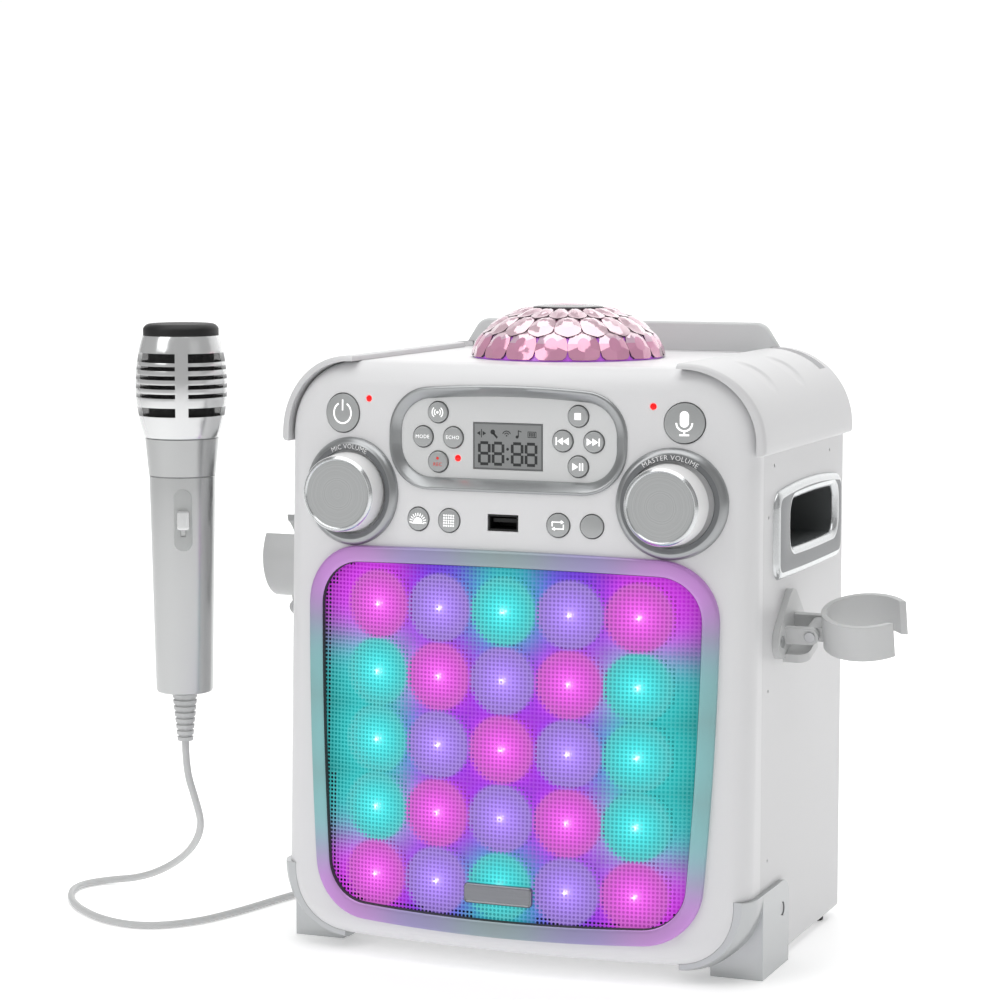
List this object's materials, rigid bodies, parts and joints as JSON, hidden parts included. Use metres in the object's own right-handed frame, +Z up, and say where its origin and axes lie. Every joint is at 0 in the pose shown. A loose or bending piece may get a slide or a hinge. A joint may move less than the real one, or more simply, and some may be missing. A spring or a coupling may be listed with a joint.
{
  "type": "karaoke machine",
  "caption": "Portable karaoke machine with a lit loudspeaker grille, spinning light dome, display, buttons, volume knobs, folding microphone holders and a corded microphone.",
  "frame": {"origin": "bottom centre of the box round the machine, its holders and its microphone, without the cord; the feet stand on z = 0", "axes": "+Z up, the front faces -Y, +X to the right as seen from the front"},
  "size_m": [0.4215, 0.2439, 0.297],
  "materials": {
    "cabinet_white": "moulded, satin",
    "rest_grey": "moulded, matt",
    "silver_trim": "silver lacquer, satin",
    "frame_silver": "silver lacquer, gloss",
    "grille_steel": "perforated, satin",
    "panel_silver": "silver lacquer, satin",
    "button_silver": "silver lacquer, satin",
    "knob_silver": "turned face, satin",
    "display_glass": "gloss",
    "lamp_red": "lit",
    "badge_silver": "brushed",
    "holder_grey": "moulded, satin",
    "foot_rubber": "matt",
    "dome_clear": "clear, faceted",
    "dome_cap_grey": "satin",
    "pocket_dark": "matt",
    "carrier_dark": "matt",
    "diffuser_milk": "lit from behind",
    "speaker_black": "matt",
    "board_green": "solder mask",
    "battery_blue": "shrink sleeve",
    "jack_black": "matt",
    "steel": "plain",
    "mic_silver": "pearl lacquer",
    "mic_black": "matt",
    "cord_grey": "matt",
    "plug_grey": "matt"
  },
  "bodies": {
    "cabinet": {"front_housing": "cabinet_white", "rear_shell": "cabinet_white", "top_deck": "cabinet_white", "left_shoulder": "cabinet_white", "right_shoulder": "cabinet_white", "tablet_rest": "rest_grey", "grille_frame": "frame_silver", "speaker_grille": "grille_steel", "led_carrier": "carrier_dark", "led_diffusers": "diffuser_milk", "control_bezel": "silver_trim", "control_panel": "panel_silver", "display": "display_glass", "knob_bezels": "silver_trim", "corner_feet": "silver_trim", "rear_feet": "foot_rubber", "handle_trims": "silver_trim", "handle_pockets": "pocket_dark", "usb_socket": "steel", "indicator_lights": "lamp_red", "holder_bases": "holder_grey", "holder_pins": "steel", "screws": "steel", "woofer": "speaker_black", "control_board": "board_green", "main_board": "board_green", "battery_pack": "battery_blue", "dome_motor": "steel", "jack_panel": "jack_black", "badge_plate": "badge_silver", "mic_cord": "cord_grey", "mic_cord_coil": "cord_grey", "mic_plug": "plug_grey"},
    "light_dome": {"disco_dome": "dome_clear", "dome_cap": "dome_cap_grey"},
    "left_knob": {"left_knob": "knob_silver"},
    "right_knob": {"right_knob": "knob_silver"},
    "left_holder": {"left_holder_ring": "holder_grey"},
    "right_holder": {"right_holder_ring": "holder_grey"},
    "microphone": {"mic_cap": "mic_black", "mic_head_cage": "mic_silver", "mic_screen": "mic_black", "mic_handle": "mic_silver", "mic_switch_plate": "mic_silver", "mic_strain_relief": "cord_grey"},
    "mic_switch": {"mic_switch": "mic_silver"},
    "power_button": {"power_button": "button_silver"},
    "microphone_button": {"microphone_button": "button_silver"},
    "wireless_button": {"wireless_button": "button_silver"},
    "mode_button": {"mode_button": "button_silver"},
    "echo_button": {"echo_button": "button_silver"},
    "record_button": {"record_button": "button_silver"},
    "stop_button": {"stop_button": "button_silver"},
    "previous_button": {"previous_button": "button_silver"},
    "next_button": {"next_button": "button_silver"},
    "play_button": {"play_button": "button_silver"},
    "dome_light_button": {"dome_light_button": "button_silver"},
    "grid_light_button": {"grid_light_button": "button_silver"},
    "repeat_button": {"repeat_button": "button_silver"},
    "folder_button": {"folder_button": "button_silver"}
  },
  "joints": [
    {"name": "press_power", "type": "slide", "parent": "cabinet", "child": "power_button", "axis": [0, 1, 0], "range_m": [0, 0.001], "stiffness_N_per_m": 300, "springref_m": -0.001},
    {"name": "press_microphone", "type": "slide", "parent": "cabinet", "child": "microphone_button", "axis": [0, 1, 0], "range_m": [0, 0.001], "stiffness_N_per_m": 300, "springref_m": -0.001},
    {"name": "press_wireless", "type": "slide", "parent": "cabinet", "child": "wireless_button", "axis": [0, 1, 0], "range_m": [0, 0.001], "stiffness_N_per_m": 300, "springref_m": -0.001},
    {"name": "press_mode", "type": "slide", "parent": "cabinet", "child": "mode_button", "axis": [0, 1, 0], "range_m": [0, 0.001], "stiffness_N_per_m": 300, "springref_m": -0.001},
    {"name": "press_echo", "type": "slide", "parent": "cabinet", "child": "echo_button", "axis": [0, 1, 0], "range_m": [0, 0.001], "stiffness_N_per_m": 300, "springref_m": -0.001},
    {"name": "press_record", "type": "slide", "parent": "cabinet", "child": "record_button", "axis": [0, 1, 0], "range_m": [0, 0.001], "stiffness_N_per_m": 300, "springref_m": -0.001},
    {"name": "press_stop", "type": "slide", "parent": "cabinet", "child": "stop_button", "axis": [0, 1, 0], "range_m": [0, 0.001], "stiffness_N_per_m": 300, "springref_m": -0.001},
    {"name": "press_previous", "type": "slide", "parent": "cabinet", "child": "previous_button", "axis": [0, 1, 0], "range_m": [0, 0.001], "stiffness_N_per_m": 300, "springref_m": -0.001},
    {"name": "press_next", "type": "slide", "parent": "cabinet", "child": "next_button", "axis": [0, 1, 0], "range_m": [0, 0.001], "stiffness_N_per_m": 300, "springref_m": -0.001},
    {"name": "press_play", "type": "slide", "parent": "cabinet", "child": "play_button", "axis": [0, 1, 0], "range_m": [0, 0.001], "stiffness_N_per_m": 300, "springref_m": -0.001},
    {"name": "press_dome_light", "type": "slide", "parent": "cabinet", "child": "dome_light_button", "axis": [0, 1, 0], "range_m": [0, 0.001], "stiffness_N_per_m": 300, "springref_m": -0.001},
    {"name": "press_grid_light", "type": "slide", "parent": "cabinet", "child": "grid_light_button", "axis": [0, 1, 0], "range_m": [0, 0.001], "stiffness_N_per_m": 300, "springref_m": -0.001},
    {"name": "press_repeat", "type": "slide", "parent": "cabinet", "child": "repeat_button", "axis": [0, 1, 0], "range_m": [0, 0.001], "stiffness_N_per_m": 300, "springref_m": -0.001},
    {"name": "press_folder", "type": "slide", "parent": "cabinet", "child": "folder_button", "axis": [0, 1, 0], "range_m": [0, 0.001], "stiffness_N_per_m": 300, "springref_m": -0.001},
    {"name": "turn_left_knob", "type": "hinge", "parent": "cabinet", "child": "left_knob", "pos_m": [-0.06562, -0.0787, 0.2129], "axis": [0, 1, 0], "range_deg": [-150, 150]},
    {"name": "turn_right_knob", "type": "hinge", "parent": "cabinet", "child": "right_knob", "pos_m": [0.08739, -0.0787, 0.2129], "axis": [0, 1, 0], "range_deg": [-150, 150]},
    {"name": "fold_left_holder", "type": "hinge", "parent": "cabinet", "child": "left_holder", "pos_m": [-0.11542, -0.0147, 0.1533], "axis": [0, -0.9613, -0.2756], "range_deg": [0, 90]},
    {"name": "fold_right_holder", "type": "hinge", "parent": "cabinet", "child": "right_holder", "pos_m": [0.13719, -0.0147, 0.1533], "axis": [0, -0.9613, -0.2756], "range_deg": [0, 90]},
    {"name": "spin_dome", "type": "hinge", "parent": "cabinet", "child": "light_dome", "pos_m": [0.01089, 0.0071, 0.28], "axis": [0, 0, 1], "continuous": true},
    {"name": "lift_microphone", "type": "slide", "parent": "cabinet", "child": "microphone", "axis": [0, 0, 1], "range_m": [0, 0.05]},
    {"name": "slide_mic_switch", "type": "slide", "parent": "microphone", "child": "mic_switch", "axis": [0, 0, -1], "range_m": [0, 0.005]}
  ]
}
